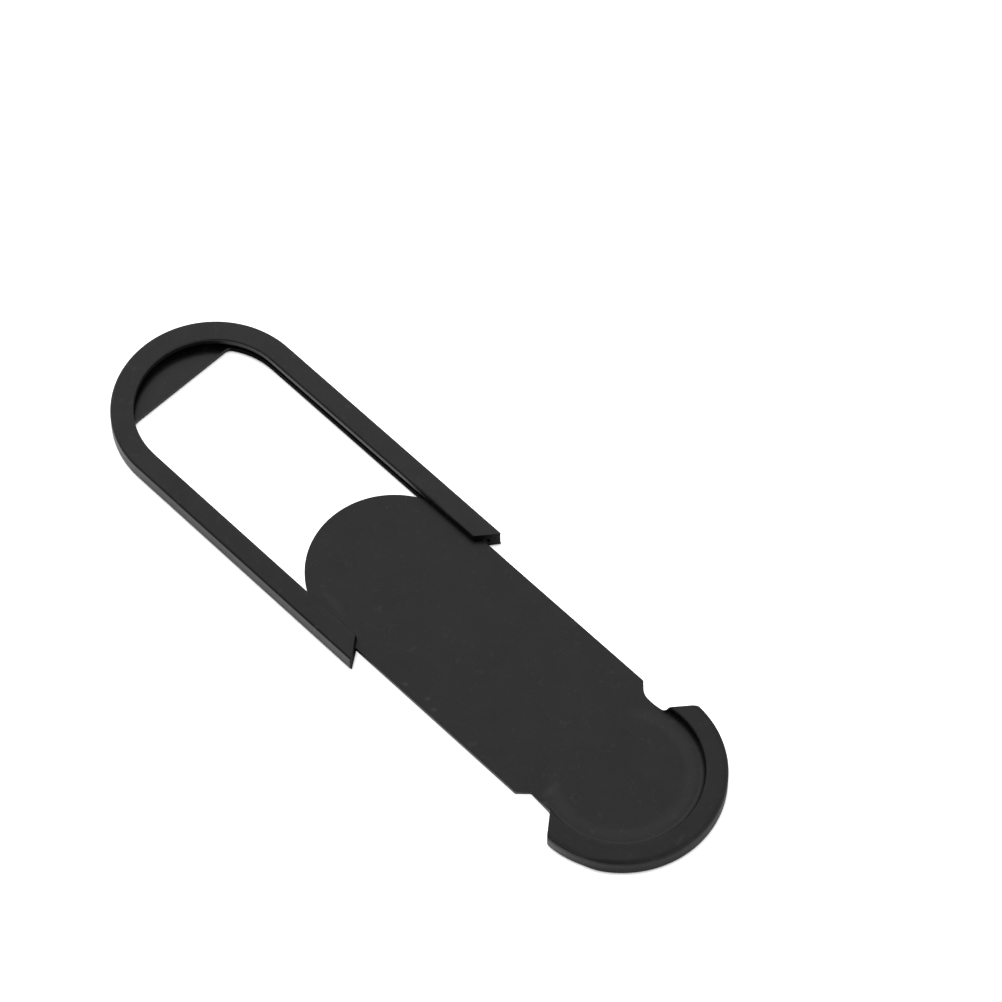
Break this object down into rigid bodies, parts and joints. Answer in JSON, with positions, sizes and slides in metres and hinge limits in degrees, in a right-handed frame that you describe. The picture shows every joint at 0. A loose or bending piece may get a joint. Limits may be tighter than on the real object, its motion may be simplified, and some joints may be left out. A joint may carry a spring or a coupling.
{
  "type": "webcam cover slider",
  "caption": "Sliding webcam cover: a stick-on U-shaped channel frame with a lens window, and a thin slider whose raised C-shaped rim closes the frame into a flat oval.",
  "frame": {"origin": "centre of the frame's round closed end, where a lens sits in the window, on the adhesive face", "axes": "+X along the slide from the closed end to the open end, +Z out of the lid that the cover is stuck to"},
  "size_m": [0.0609, 0.016, 0.0016],
  "materials": {
    "moulding": "matte black moulded plastic with a very fine texture",
    "adhesive": "black double-sided foam tape"
  },
  "bodies": {
    "frame": {"base_frame": "moulding", "adhesive_tape": "adhesive"},
    "shutter": {"slider": "moulding"}
  },
  "joints": [
    {"name": "shutter_slide", "type": "slide", "parent": "frame", "child": "shutter", "axis": [1, 0, 0], "range_m": [-0.0207, 0]}
  ]
}
